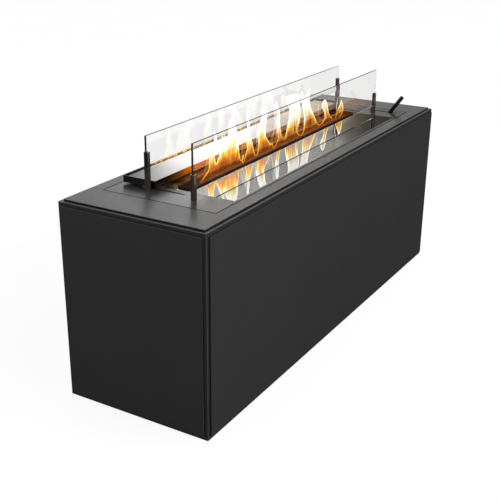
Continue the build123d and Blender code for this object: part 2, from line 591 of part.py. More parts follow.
UP_Y = (64.5, 84.5)                                     # upright of a side arm, cover open
PIN_OPEN = (PIVOT_Y + CRANK_R * sin(radians(LEVER_LEAN)),
            PIVOT_Z - CRANK_R * cos(radians(LEVER_LEAN)))
PIN_MID_Z = PIVOT_Z - CRANK_R
TAB_T = 2.0
COVER_STUDS = [(sx * 431.0, y) for sx in (-1, 1) for y in (69.5, 79.5)]
with BuildPart() as slide_arms:
    for sx in (-1, 1):
        with BuildSketch(Plane.YZ.offset(sx * ARM_X - ARM_T / 2)):
            with BuildLine():
                Polyline((UP_Y[0], LID_SKIN_BOT), (UP_Y[1], LID_SKIN_BOT), (UP_Y[1], 412.0),
                         (110.0, 412.0), (110.0, 388.0), (52.0, 388.0),
                         (PIN_OPEN[0] + 12.6, 366.0), (PIN_OPEN[0] + 12.6, 333.0),
                         (PIN_OPEN[0] - 12.6, 333.0), (PIN_OPEN[0] - 12.6, 372.0),
                         (36.0, 412.0), (UP_Y[0], 412.0), close=True)
            make_face()
            with Locations(Location((PIN_OPEN[0], (PIN_OPEN[1] + PIN_MID_Z) / 2), 90)):
                SlotCenterToCenter(PIN_OPEN[1] - PIN_MID_Z + 3.0, 11.2, mode=Mode.SUBTRACT)
            with Locations(*[(y, ROLLER_Z) for y in ROLLER_Y]):
                Circle(2.0, mode=Mode.SUBTRACT)
        extrude(amount=ARM_T)
        with BuildSketch(Plane.XY.offset(LID_SKIN_BOT - TAB_T)):
            with Locations((sx * 433.0, sum(UP_Y) / 2)):
                Rectangle(14.0, UP_Y[1] - UP_Y[0])
            with Locations(*[c for c in COVER_STUDS if c[0] * sx > 0]):
                Circle(2.3, mode=Mode.SUBTRACT)
        extrude(amount=TAB_T)
slide_arms.part.label = "slide_arms"
export_step(slide_arms.part, "parts/slide_arms.step")

with BuildPart() as cover_studs:
    with BuildSketch(Plane.XY.offset(LID_SKIN_BOT)):
        with Locations(*COVER_STUDS):
            Circle(2.0)
    extrude(amount=-8.0)
cover_studs.part.label = "cover_studs"
export_step(cover_studs.part, "parts/cover_studs.step")

with BuildPart() as cover_nuts:
    with BuildSketch(Plane.XY.offset(LID_SKIN_BOT - TAB_T)):
        with Locations(*COVER_STUDS):
            RegularPolygon(M4_NUT_R, 6)
            Circle(2.05, mode=Mode.SUBTRACT)
    extrude(amount=-M4_NUT_H)
cover_nuts.part.label = "cover_nuts"
export_step(cover_nuts.part, "parts/cover_nuts.step")

with BuildPart() as guide_rollers:
    for x0 in (432.6, -438.6):
        with BuildSketch(Plane.YZ.offset(x0)):
            with Locations(*[(y, ROLLER_Z) for y in ROLLER_Y]):
                Circle(ROLLER_R)
                Circle(2.05, mode=Mode.SUBTRACT)
        extrude(amount=6.0)
guide_rollers.part.label = "guide_rollers"
export_step(guide_rollers.part, "parts/guide_rollers.step")

with BuildPart() as roller_pins:
    for s in (-1, 1):
        with BuildSketch(Plane.YZ.offset(431.6 if s > 0 else -442.4)):
            with Locations(*[(y, ROLLER_Z) for y in ROLLER_Y]):
                Circle(1.98)
        extrude(amount=10.8)
        with BuildSketch(Plane.YZ.offset(431.6 if s > 0 else -432.4)):
            with Locations(*[(y, ROLLER_Z) for y in ROLLER_Y]):
                Circle(3.4)
        extrude(amount=0.8)
        with BuildSketch(Plane.YZ.offset(441.4 if s > 0 else -442.4)):
            with Locations(*[(y, ROLLER_Z) for y in ROLLER_Y]):
                Circle(3.2)
        extrude(amount=1.0)
roller_pins.part.label = "roller_pins"
export_step(roller_pins.part, "parts/roller_pins.step")

# ================================================================== rocker
with BuildPart() as rocker_shaft:
    with BuildSketch(Plane.YZ.offset(-459.5)):
        with Locations((PIVOT_Y, PIVOT_Z)):
            Circle(SHAFT_R)
    extrude(amount=459.5 + 492.0)
    chamfer(rocker_shaft.edges().filter_by(GeomType.CIRCLE), length=0.8)
rocker_shaft.part.label = "rocker_shaft"
export_step(rocker_shaft.part, "parts/rocker_shaft.step")

with BuildPart() as crank_arms:
    for x0 in (444.0, -448.0):
        with BuildSketch(Plane.YZ.offset(x0)):
            with Locations((PIVOT_Y, PIVOT_Z)):
                Circle(11.0)
            with Locations(PIN_OPEN):
                Circle(8.5)
            make_hull()
            with Locations((PIVOT_Y, PIVOT_Z)):
                Circle(SHAFT_R + 0.02, mode=Mode.SUBTRACT)
            with Locations(PIN_OPEN):
                Circle(PIN_R + 0.02, mode=Mode.SUBTRACT)
        extrude(amount=4.0)
crank_arms.part.label = "crank_arms"
export_step(crank_arms.part, "parts/crank_arms.step")

with BuildPart() as crank_pins:
    for x0 in (437.2, -448.0):
        with BuildSketch(Plane.YZ.offset(x0)):
            with Locations(PIN_OPEN):
                Circle(PIN_R)
        extrude(amount=10.8)
crank_pins.part.label = "crank_pins"
export_step(crank_pins.part, "parts/crank_pins.step")

with BuildPart() as shaft_clips:
    for x0 in (489.2, -458.2):
        with BuildSketch(Plane.YZ.offset(x0)):
            with Locations((PIVOT_Y, PIVOT_Z)):
                Circle(9.0)
                Circle(SHAFT_R + 0.02, mode=Mode.SUBTRACT)
        extrude(amount=1.0)
shaft_clips.part.label = "shaft_clips"
export_step(shaft_clips.part, "parts/shaft_clips.step")

LEVER_DIR = Vector(0, -sin(radians(LEVER_LEAN)), cos(radians(LEVER_LEAN)))
GRIP_IN, GRIP_OUT, GRIP_R, TANG_OUT = 63.0, 99.0, 5.5, 92.0
with BuildPart() as lever:
    with BuildSketch(Plane.YZ.offset(LEVER_X - 6.0)):
        with Locations((PIVOT_Y, PIVOT_Z)):
            Circle(11.0)
            Circle(SHAFT_R + 0.02, mode=Mode.SUBTRACT)
    extrude(amount=12.0)
    with BuildSketch(Plane(origin=(LEVER_X, PIVOT_Y, PIVOT_Z), x_dir=(1, 0, 0),
                           z_dir=LEVER_DIR).offset(8.0)):
        Rectangle(3.0, 10.0)
    extrude(amount=GRIP_IN - 8.0)
    with BuildSketch(Plane(origin=(LEVER_X, PIVOT_Y, PIVOT_Z), x_dir=(1, 0, 0),
                           z_dir=LEVER_DIR).offset(GRIP_IN)):
        Rectangle(3.0, 8.0)
    extrude(amount=TANG_OUT - GRIP_IN)
lever.part.label = "lever"
export_step(lever.part, "parts/lever.step")

with BuildPart() as lever_grip:
    with BuildSketch(Plane(origin=(LEVER_X, PIVOT_Y, PIVOT_Z), x_dir=(1, 0, 0),
                           z_dir=LEVER_DIR).offset(GRIP_IN)):
        Circle(GRIP_R)
    extrude(amount=GRIP_OUT - GRIP_IN)
    fillet(lever_grip.edges().sort_by(Axis.Z)[-1], radius=2.2)
    fillet(lever_grip.edges().sort_by(Axis.Z)[0], radius=0.8)
    with BuildSketch(Plane(origin=(LEVER_X, PIVOT_Y, PIVOT_Z), x_dir=(1, 0, 0),
                           z_dir=LEVER_DIR).offset(GRIP_IN)):
        Rectangle(3.1, 8.1)
    extrude(amount=TANG_OUT - GRIP_IN + 0.5, mode=Mode.SUBTRACT)
lever_grip.part.label = "lever_grip"
export_step(lever_grip.part, "parts/lever_grip.step")

with BuildPart() as lever_screws:
    for dx in (-3.0, 3.0):
        with BuildSketch(Plane(origin=(LEVER_X + dx, PIVOT_Y, PIVOT_Z), x_dir=(1, 0, 0),
                               z_dir=(0, 0, -1)).offset(11.0)):
            Circle(2.0)
        extrude(amount=2.5)
lever_screws.part.label = "lever_screws"
export_step(lever_screws.part, "parts/lever_screws.step")

print("crank radius", round(CRANK_R, 3), "pin open", [round(v, 3) for v in PIN_OPEN])
print("front post top", FRONT_POST_TOP, "rear post top", REAR_POST_TOP,
      "cover bottom", LID_BOT, "cover top", LID_TOP)
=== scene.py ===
import json
import math

import bmesh
import bpy
import numpy as np
from mathutils import Matrix, Vector
from mathutils.geometry import delaunay_2d_cdt


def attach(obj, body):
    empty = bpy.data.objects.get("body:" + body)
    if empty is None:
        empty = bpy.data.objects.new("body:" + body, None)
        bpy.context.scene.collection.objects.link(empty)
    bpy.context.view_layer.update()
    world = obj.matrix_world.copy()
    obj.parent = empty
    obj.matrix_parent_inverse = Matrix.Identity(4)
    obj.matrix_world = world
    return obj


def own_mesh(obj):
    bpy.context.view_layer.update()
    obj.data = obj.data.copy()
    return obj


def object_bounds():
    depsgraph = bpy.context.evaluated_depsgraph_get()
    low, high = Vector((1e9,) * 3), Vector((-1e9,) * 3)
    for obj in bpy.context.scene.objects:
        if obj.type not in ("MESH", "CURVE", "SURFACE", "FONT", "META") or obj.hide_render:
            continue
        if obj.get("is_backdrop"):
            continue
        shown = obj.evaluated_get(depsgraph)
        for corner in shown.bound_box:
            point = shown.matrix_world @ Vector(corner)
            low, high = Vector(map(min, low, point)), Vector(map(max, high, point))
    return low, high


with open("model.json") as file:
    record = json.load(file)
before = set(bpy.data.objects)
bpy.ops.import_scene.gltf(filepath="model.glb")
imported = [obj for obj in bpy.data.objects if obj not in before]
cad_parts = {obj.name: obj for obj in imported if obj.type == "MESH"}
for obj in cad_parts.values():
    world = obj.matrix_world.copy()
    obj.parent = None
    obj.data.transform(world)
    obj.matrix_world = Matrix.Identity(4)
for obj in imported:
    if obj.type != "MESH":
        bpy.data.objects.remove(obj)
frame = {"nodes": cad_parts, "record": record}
box0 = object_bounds()
NODES = frame["nodes"]
SLOT_OF = {s["node"]: s["material_slot"] for s in frame["record"]["subparts"]}
scene = bpy.context.scene

# ---------------------------------------------------------------- colour of the picture
scene.view_settings.view_transform = "Standard"
scene.view_settings.look = "None"
scene.view_settings.exposure = 0.0
scene.view_settings.gamma = 1.0

# ---------------------------------------------------------------- camera at the photograph's angle
# turn is the rotation from the object's axes to the lens's own (right, down, ahead)
turn = Vector((1.7596416, -0.9849057, 0.6661526))
rows = Matrix.Rotation(turn.length, 3, turn.normalized())
right, down, ahead = rows[0].copy(), rows[1].copy(), rows[2].copy()
cam = bpy.data.cameras.new("camera")
cam.sensor_width = 36.0
cam.sensor_fit = "HORIZONTAL"
cam.lens = 902.11 / 500.0 * 36.0
cam.shift_x = (250.0 - 231.84) / 500.0
cam.shift_y = (252.56 - 250.0) / 500.0
cam.clip_start, cam.clip_end = 0.05, 100.0
cam_ob = bpy.data.objects.new("camera", cam)
pose = Matrix((right, -down, -ahead)).transposed().to_4x4()
pose.translation = Vector((-1.90153, -1.03074, 1.04261))
cam_ob.matrix_world = pose
scene.collection.objects.link(cam_ob)
scene.camera = cam_ob


# ---------------------------------------------------------------- node helpers
class Tree:
    """Short ways to build a node tree."""

    def __init__(self, owner):
        owner.use_nodes = True
        self.t = owner.node_tree
        self.t.nodes.clear()

    def n(self, kind, **values):
        node = self.t.nodes.new(kind)
        for k, v in values.items():
            setattr(node, k, v)
        return node

    def l(self, a, b):
        self.t.links.new(a, b)

    def coords(self, scale=(1, 1, 1), rot=(0, 0, 0)):
        tc = self.n("ShaderNodeTexCoord")
        mp = self.n("ShaderNodeMapping")
        mp.inputs["Scale"].default_value = scale
        mp.inputs["Rotation"].default_value = rot
        self.l(tc.outputs["Object"], mp.inputs["Vector"])
        return mp.outputs["Vector"]

    def noise(self, vec, scale, detail=3.0, rough=0.55, distortion=0.0):
        x = self.n("ShaderNodeTexNoise")
        x.inputs["Scale"].default_value = scale
        x.inputs["Detail"].default_value = detail
        x.inputs["Roughness"].default_value = rough
        x.inputs["Distortion"].default_value = distortion
        self.l(vec, x.inputs["Vector"])
        return x.outputs["Fac"]

    def cells(self, vec, scale, feature="F1"):
        x = self.n("ShaderNodeTexVoronoi", feature=feature)
        x.inputs["Scale"].default_value = scale
        self.l(vec, x.inputs["Vector"])
        return x.outputs["Distance"]

    def span(self, fac, a, b, lo, hi):
        x = self.n("ShaderNodeMapRange")
        for i, v in zip(("From Min", "From Max", "To Min", "To Max"), (a, b, lo, hi)):
            x.inputs[i].default_value = v
        self.l(fac, x.inputs["Value"])
        return x.outputs["Result"]

    def ramp(self, fac, *stops):
        x = self.n("ShaderNodeValToRGB")
        e = x.color_ramp.elements
        while len(e) < len(stops):
            e.new(0.5)
        for el, (at, colour) in zip(e, stops):
            el.position = at
            el.color = (*colour, 1.0)
        self.l(fac, x.inputs["Fac"])
        return x.outputs["Color"]

    def math(self, op, a, b=None, c=None, clamp=False):
        x = self.n("ShaderNodeMath", operation=op, use_clamp=clamp)
        for i, v in enumerate((a, b, c)):
            if v is None:
                continue
            if isinstance(v, (int, float)):
                x.inputs[i].default_value = v
            else:
                self.l(v, x.inputs[i])
        return x.outputs[0]

    def blend(self, fac, a, b, kind="MIX"):
        x = self.n("ShaderNodeMix", data_type="RGBA", blend_type=kind)
        for socket, v in ((x.inputs[0], fac), (x.inputs[6], a), (x.inputs[7], b)):
            if isinstance(v, (int, float)):
                socket.default_value = v
            elif isinstance(v, tuple):
                socket.default_value = (*v, 1.0)
            else:
                self.l(v, socket)
        return x.outputs[2]

    def bump(self, height, strength, distance, normal=None):
        x = self.n("ShaderNodeBump")
        x.inputs["Strength"].default_value = strength
        x.inputs["Distance"].default_value = distance
        self.l(height, x.inputs["Height"])
        if normal is not None:
            self.l(normal, x.inputs["Normal"])
        return x.outputs["Normal"]


def material(name, colour, rough, normal, metallic=0.0, **plain):
    """A Principled material. colour, rough and normal are functions of the tree that give a socket."""
    m = bpy.data.materials.new(name)
    t = Tree(m)
    p = t.n("ShaderNodeBsdfPrincipled")
    out = t.n("ShaderNodeOutputMaterial")
    t.l(p.outputs[0], out.inputs["Surface"])
    p.inputs["Metallic"].default_value = metallic
    for k, v in plain.items():
        p.inputs[k.replace("_", " ")].default_value = v
    t.l(colour(t), p.inputs["Base Color"])
    if isinstance(rough, (int, float)):
        p.inputs["Roughness"].default_value = rough
    else:
        t.l(rough(t), p.inputs["Roughness"])
    if normal is not None:
        t.l(normal(t), p.inputs["Normal"])
    m["tree"] = name
    return m


def powder(name, dark, light, r0, r1, grain=0.16, scale=620.0, **plain):
    """Fine-grain powder coat: specks in the colour and the gloss, and a pebbled skin."""

    def colour(t):
        v = t.coords()
        fine = t.noise(v, scale, 2.0, 0.6)
        wide = t.noise(v, 9.0, 2.0, 0.5)
        c = t.ramp(fine, (0.3, dark), (0.72, light))
        return t.blend(t.span(wide, 0.3, 0.7, 0.0, 0.25), c, tuple(x * 0.72 for x in light))

    def rough(t):
        v = t.coords()
        fine = t.noise(v, scale * 0.8, 2.0, 0.6)
        wide = t.noise(v, 6.0, 2.0, 0.5)
        a = t.span(fine, 0.3, 0.7, r0, r1)
        return t.math("ADD", a, t.span(wide, 0.3, 0.7, -0.02, 0.02))

    def normal(t):
        v = t.coords()
        pebble = t.cells(v, scale * 0.85)
        fine = t.noise(v, scale * 1.6, 2.0, 0.5)
        h = t.math("MULTIPLY_ADD", fine, 0.5, pebble)
        return t.bump(h, grain, 0.0006)

    return material(name, colour, rough, normal, **plain)


def painted_shade_on_walls(m, hx, hy):
    """Paints shade on the upright walls inside this half length and half width: dark and dull, as in the recesses of
    the slots.
    """
    t = m.node_tree
    p = next(n for n in t.nodes if n.type == "BSDF_PRINCIPLED")
    w = Tree.__new__(Tree)
    w.t = t
    geo = w.n("ShaderNodeNewGeometry")
    up = w.n("ShaderNodeSeparateXYZ")
    w.l(geo.outputs["True Normal"], up.inputs[0])
    at = w.n("ShaderNodeSeparateXYZ")
    tc = w.n("ShaderNodeTexCoord")
    w.l(tc.outputs["Object"], at.inputs[0])
    wall = w.math("LESS_THAN", w.math("ABSOLUTE", up.outputs["Z"]), 0.5)
    wall = w.math("MULTIPLY", wall, w.math("LESS_THAN", w.math("ABSOLUTE", at.outputs["X"]), hx))
    wall = w.math("MULTIPLY", wall, w.math("LESS_THAN", w.math("ABSOLUTE", at.outputs["Y"]), hy))
    colour, rough = p.inputs["Base Color"].links[0].from_socket, p.inputs["Roughness"].links[0].from_socket
    w.l(w.blend(wall, colour, (0.0012, 0.0012, 0.0012)), p.inputs["Base Color"])
    w.l(w.math("MAXIMUM", rough, w.math("MULTIPLY", wall, 0.95)), p.inputs["Roughness"])
    return m


def metal(name, dark, light, r0, r1, stretch=(1, 60, 60), scale=14.0, grain=0.05, **plain):
    """Worked metal: fine lines along one axis in the colour, gloss and surface."""

    def colour(t):
        v = t.coords(stretch)
        line = t.noise(v, scale, 4.0, 0.6)
        blot = t.noise(t.coords(), 22.0, 3.0, 0.5)
        c = t.ramp(line, (0.25, dark), (0.75, light))
        return t.blend(t.span(blot, 0.35, 0.7, 0.0, 0.3), c, dark)

    def rough(t):
        line = t.noise(t.coords(stretch), scale * 1.7, 3.0, 0.6)
        return t.span(line, 0.3, 0.7, r0, r1)

    def normal(t):
        line = t.noise(t.coords(stretch), scale * 2.3, 3.0, 0.6)
        return t.bump(line, grain, 0.0004)

    return material(name, colour, rough, normal, metallic=1.0, **plain)


def soft(name, dark, light, rough, scale=260.0, grain=0.3, **plain):
    """Rubber, plastic, paper or fibre: mottled colour and a fine uneven skin."""

    def colour(t):
        v = t.coords()
        return t.ramp(t.noise(v, scale, 4.0, 0.6), (0.28, dark), (0.74, light))

    def rgh(t):
        return t.span(t.noise(t.coords(), scale * 0.7, 3.0, 0.5), 0.3, 0.7, rough - 0.06, rough + 0.06)

    def normal(t):
        v = t.coords()
        h = t.math("MULTIPLY_ADD", t.noise(v, scale * 1.4, 3.0, 0.6), 0.6, t.cells(v, scale))
        return t.bump(h, grain, 0.0008)

    return material(name, colour, rgh, normal, **plain)


MATS = {
    "casing_black": powder("casing_black", (0.0130, 0.0130, 0.0132), (0.0230, 0.0230, 0.0232), 0.27, 0.40, 0.14),
    "cladding_black": powder("cladding_black", (0.0150, 0.0150, 0.0151), (0.0240, 0.0240, 0.0241), 0.34, 0.46, 0.12),
    "insert_black": powder("insert_black", (0.0120, 0.0120, 0.0120), (0.0215, 0.0213, 0.0210), 0.25, 0.37, 0.13),
    "cover_black": powder("cover_black", (0.0079, 0.0064, 0.0047), (0.0142, 0.0117, 0.0087), 0.10, 0.16, 0.03, 300.0),
    "post_black": powder("post_black", (0.0090, 0.0090, 0.0092), (0.0200, 0.0198, 0.0195), 0.15, 0.25, 0.05, 420.0, Specular_IOR_Level=1.0),
    "lever_steel": metal("lever_steel", (0.012, 0.012, 0.013), (0.042, 0.041, 0.040), 0.24, 0.38, (60, 60, 2), 12.0, 0.08),
    "polished_steel": metal("polished_steel", (0.640, 0.625, 0.605), (0.690, 0.675, 0.655), 0.012, 0.026, (1, 40, 1), 5.0, 0.004),
    "burner_steel": powder("burner_steel", (0.0078, 0.0060, 0.0030), (0.0165, 0.0126, 0.0062), 0.34, 0.48, 0.10, 500.0, Specular_IOR_Level=0.05),
    "tank_steel": metal("tank_steel", (0.42, 0.42, 0.41), (0.60, 0.60, 0.59), 0.26, 0.40, (1, 50, 50), 18.0, 0.05),
    "zinc_steel": metal("zinc_steel", (0.50, 0.51, 0.52), (0.68, 0.69, 0.71), 0.30, 0.44, (20, 20, 20), 30.0, 0.06),
    "inner_steel": metal("inner_steel", (0.36, 0.37, 0.38), (0.56, 0.57, 0.58), 0.34, 0.52, (6, 6, 6), 12.0, 0.05),
    "seal_rubber": soft("seal_rubber", (0.003, 0.003, 0.003), (0.009, 0.009, 0.009), 0.86, 420.0, 0.5, Specular_IOR_Level=0.12),
    "silicone": soft("silicone", (0.010, 0.010, 0.010), (0.026, 0.026, 0.026), 0.55, 300.0, 0.2),
    "gasket_paper": soft("gasket_paper", (0.60, 0.57, 0.52), (0.80, 0.77, 0.72), 0.90, 240.0, 0.5),
    "fibre": soft("fibre", (0.62, 0.59, 0.53), (0.86, 0.84, 0.79), 0.94, 180.0, 0.9),
    "bronze": metal("bronze", (0.42, 0.27, 0.11), (0.64, 0.44, 0.21), 0.38, 0.55, (20, 20, 20), 30.0, 0.10),
    "nylon": soft("nylon", (0.66, 0.65, 0.60), (0.80, 0.79, 0.75), 0.42, 200.0, 0.08),
    "grip_black": soft("grip_black", (0.003, 0.003, 0.003), (0.009, 0.009, 0.009), 0.46, 520.0, 0.18, Specular_IOR_Level=0.30),
}


def glass():
    """Clear tempered pane with a faint streaky film, and ground edges that are darker than its faces, save a pale rear
    top edge and an orange low-x front edge that are painted light.
    """
    m = bpy.data.materials.new("glass_clear")
    t = Tree(m)
    p = t.n("ShaderNodeBsdfPrincipled")
    out = t.n("ShaderNodeOutputMaterial")
    t.l(p.outputs[0], out.inputs["Surface"])
    p.inputs["Transmission Weight"].default_value = 1.0
    p.inputs["IOR"].default_value = 1.38
    p.inputs["Roughness"].default_value = 0.0
    haze = t.noise(t.coords((1.0, 1.0, 0.18)), 26.0, 3.0, 0.5)
    face = t.ramp(haze, (0.30, (0.915, 0.912, 0.908)), (0.75, (0.955, 0.953, 0.949)))
    grit = t.noise(t.coords(), 900.0, 2.0, 0.6)
    ground = t.ramp(grit, (0.30, (0.002, 0.003, 0.003)), (0.70, (0.012, 0.015, 0.014)))
    # painted light: the rear pane's top edge is tinted pale against the dark ground of the other edges, so it reads lit
    pale = t.ramp(grit, (0.30, (0.40, 0.42, 0.42)), (0.70, (0.56, 0.58, 0.58)))
    tc = t.n("ShaderNodeTexCoord")
    place = t.n("ShaderNodeSeparateXYZ")
    t.l(tc.outputs["Object"], place.inputs[0])
    top = t.math("GREATER_THAN", place.outputs["Z"], 0.5720)
    ground = t.blend(t.math("MULTIPLY", top, t.math("GREATER_THAN", place.outputs["Y"], 0.0)), ground, pale)
    # painted light: the front pane's low-x edge below 0.507 m is tinted orange for the fire's glow in the post's slot
    fire_glow_edge = t.math("MULTIPLY", t.math("LESS_THAN", place.outputs["Z"], 0.5070), t.math("LESS_THAN", place.outputs["Y"], 0.0))
    ground = t.blend(fire_glow_edge, ground, (0.60, 0.22, 0.05))
    # the top edge and the edge at the low-x end are ground dull and dark, save for their painted light, the edge at the
    # high-x end is frosted
    edge = t.math("MAXIMUM", top, t.math("LESS_THAN", place.outputs["X"], -0.4597))
    frost = t.math("GREATER_THAN", place.outputs["X"], 0.4610)
    foot = t.math("MULTIPLY", t.math("LESS_THAN", place.outputs["Z"], 0.4727), t.math("LESS_THAN", place.outputs["Y"], 0.0))
    foot = t.math("MULTIPLY", foot, t.math("GREATER_THAN", place.outputs["X"], 0.330))
    frost = t.math("MAXIMUM", frost, foot)
    face = t.blend(frost, face, (0.98, 0.95, 0.84))
    t.l(t.blend(edge, face, ground), p.inputs["Base Color"])
    t.l(t.math("MAXIMUM", t.math("MULTIPLY", edge, 0.85), t.math("MULTIPLY", frost, 0.60)), p.inputs["Roughness"])
    return m


MATS["glass_clear"] = glass()


def cover_painted_light_and_shade(m):
    """Painted light on the cover: the fire's reflection as light dashes on the inner side of the rear lip over the
    length of the fire, painted shade on the lip past it, and a painted tint and shade on the front and end faces.
    """
    t = m.node_tree
    p = next(n for n in t.nodes if n.type == "BSDF_PRINCIPLED")
    w = Tree.__new__(Tree)
    w.t = t
    at = w.n("ShaderNodeSeparateXYZ")
    tc = w.n("ShaderNodeTexCoord")
    w.l(tc.outputs["Object"], at.inputs[0])
    here = w.math("MULTIPLY", w.math("GREATER_THAN", at.outputs["Y"], 0.1280), w.math("GREATER_THAN", at.outputs["Z"], 0.4709))
    here = w.math("MULTIPLY", here, w.span(at.outputs["X"], -0.375, -0.345, 0.0, 1.0))
    # painted reflection: the light dashes stand in for the fire reflected in the lip
    dash = w.noise(w.coords((1.0, 0.0, 0.0)), 52.0, 3.0, 0.65)
    light = w.ramp(dash, (0.38, (0.006, 0.005, 0.004)), (0.50, (0.016, 0.016, 0.014)), (0.64, (0.052, 0.058, 0.055)))
    colour = p.inputs["Base Color"].links[0].from_socket
    # painted shade: the lip past the fire's low-x end is near black
    lip = w.math("MULTIPLY", w.math("GREATER_THAN", at.outputs["Y"], 0.1265), w.math("LESS_THAN", at.outputs["X"], -0.375))
    colour = w.blend(lip, colour, (0.0012, 0.0012, 0.0012))
    # the front face is tinted brown and darker towards high x, to shape how the fire's light reads on it: painted
    # light; it and the end face carry painted shade towards the low-x end, away from the fire
    face = w.math("MAXIMUM", w.math("LESS_THAN", at.outputs["Y"], 0.0455), w.math("LESS_THAN", at.outputs["X"], -0.4465))
    grain = w.noise(w.coords((0.2, 1.0, 1.0)), 240.0, 3.0, 0.6)
    brown = w.ramp(grain, (0.35, (0.0155, 0.0114, 0.0013)), (0.65, (0.0220, 0.0160, 0.0021)))
    brown = w.blend(w.span(at.outputs["X"], -0.32, -0.02, 0.0, 0.58), brown, (0.0008, 0.0005, 0.0001))
    colour = w.blend(w.math("LESS_THAN", at.outputs["Y"], 0.0455), colour, brown)
    face = w.math("MULTIPLY", face, w.span(at.outputs["X"], -0.410, -0.330, 0.88, 0.0))
    colour = w.blend(face, colour, (0.0008, 0.0006, 0.0004))
    w.l(w.blend(here, colour, light), p.inputs["Base Color"])


cover_painted_light_and_shade(MATS["cover_black"])


def painted_shade_above(m, low, high, share):
    """Painted shade: the colour darkens from this height to that one, so the fire's light shows only below it."""
    t = m.node_tree
    p = next(n for n in t.nodes if n.type == "BSDF_PRINCIPLED")
    w = Tree.__new__(Tree)
    w.t = t
    at = w.n("ShaderNodeSeparateXYZ")
    tc = w.n("ShaderNodeTexCoord")
    w.l(tc.outputs["Object"], at.inputs[0])
    colour = p.inputs["Base Color"].links[0].from_socket
    up = w.span(at.outputs["Z"], low, high, 0.0, 1.0 - share)
    w.l(w.blend(up, colour, (0.0, 0.0, 0.0)), p.inputs["Base Color"])


# painted shade on the posts above the fire
painted_shade_above(MATS["post_black"], 0.498, 0.512, 0.20)
# painted shade in the insert's slots and recesses
painted_shade_on_walls(MATS["insert_black"], 0.5035, 0.1405)


def painted_seam_shade(m, hx, hy):
    """Paints shade outside this half length and half width: dark and matt along the edge that sits on the top sheet,
    where the seam is in shade.
    """
    t = m.node_tree
    p = next(n for n in t.nodes if n.type == "BSDF_PRINCIPLED")
    w = Tree.__new__(Tree)
    w.t = t
    at = w.n("ShaderNodeSeparateXYZ")
    tc = w.n("ShaderNodeTexCoord")
    w.l(tc.outputs["Object"], at.inputs[0])
    out = w.math("MAXIMUM", w.math("GREATER_THAN", w.math("ABSOLUTE", at.outputs["X"]), hx), w.math("GREATER_THAN", w.math("ABSOLUTE", at.outputs["Y"]), hy))
    colour, rough = p.inputs["Base Color"].links[0].from_socket, p.inputs["Roughness"].links[0].from_socket
    w.l(w.blend(out, colour, (0.0012, 0.0012, 0.0012)), p.inputs["Base Color"])
    w.l(w.math("MAXIMUM", rough, w.math("MULTIPLY", out, 0.92)), p.inputs["Roughness"])


# painted shade along the insert's seam with the top sheet
painted_seam_shade(MATS["insert_black"], 0.5018, 0.1388)


def rim_wear_and_highlight(m):
    """A lighter band along the top of the burner's rim: bare fired metal worn at the edge, and a painted highlight
    where that edge catches the fire's light.
    """
    t = m.node_tree
    p = next(n for n in t.nodes if n.type == "BSDF_PRINCIPLED")
    w = Tree.__new__(Tree)
    w.t = t
    at = w.n("ShaderNodeSeparateXYZ")
    tc = w.n("ShaderNodeTexCoord")
    w.l(tc.outputs["Object"], at.inputs[0])
    here = w.math("MULTIPLY", w.span(w.math("ABSOLUTE", at.outputs["Y"]), 0.0130, 0.0145, 0.0, 1.0), w.math("GREATER_THAN", at.outputs["Z"], 0.4568))
    wear_and_glint = w.noise(w.coords((1.0, 1.0, 1.0)), 60.0, 3.0, 0.6)
    here = w.math("MULTIPLY", here, w.span(wear_and_glint, 0.35, 0.60, 0.35, 1.0))
    colour = p.inputs["Base Color"].links[0].from_socket
    w.l(w.blend(here, colour, (0.022, 0.022, 0.024)), p.inputs["Base Color"])


# worn edge and painted highlight along the burner's rim
rim_wear_and_highlight(MATS["burner_steel"])


def heat_dulled(m):
    """The strip of the mirror plate between the burner and the open cover, dulled brown by the fire."""
    t = m.node_tree
    p = next(n for n in t.nodes if n.type == "BSDF_PRINCIPLED")
    w = Tree.__new__(Tree)
    w.t = t
    at = w.n("ShaderNodeSeparateXYZ")
    tc = w.n("ShaderNodeTexCoord")
    w.l(tc.outputs["Object"], at.inputs[0])
    here = w.math("MULTIPLY", w.span(at.outputs["Y"], 0.0160, 0.0175, 0.0, 1.0), w.span(at.outputs["Y"], 0.0455, 0.0500, 1.0, 0.0))
    here = w.math("MULTIPLY", here, w.span(w.math("ABSOLUTE", at.outputs["X"]), 0.350, 0.400, 1.0, 0.0))
    cloud = w.noise(w.coords(), 70.0, 4.0, 0.6)
    stain = w.ramp(cloud, (0.30, (0.0062, 0.0046, 0.0020)), (0.70, (0.0110, 0.0086, 0.0042)))
    colour, rough = p.inputs["Base Color"].links[0].from_socket, p.inputs["Roughness"].links[0].from_socket
    # the colour darkens first and the bare-metal gloss goes last, so the border stays dark
    w.l(w.blend(w.span(here, 0.0, 0.5, 0.0, 1.0), colour, stain), p.inputs["Base Color"])
    w.l(w.math("MAXIMUM", rough, w.math("MULTIPLY", here, 0.32)), p.inputs["Roughness"])
    w.l(w.span(here, 0.5, 1.0, 1.0, 0.0), p.inputs["Metallic"])


heat_dulled(MATS["polished_steel"])

for name in ("glass_front", "glass_rear"):
    NODES[name].visible_shadow = False
for name, ob in NODES.items():
    mat = MATS[SLOT_OF[name]]
    if ob.data.materials:
        for i in range(len(ob.data.materials)):
            ob.material_slots[i].material = mat
    else:
        ob.data.materials.append(mat)


# ---------------------------------------------------------------- flame
TOP_Z = 0.5685   # the flame stays lower than the panes' top edge, and has faded out there
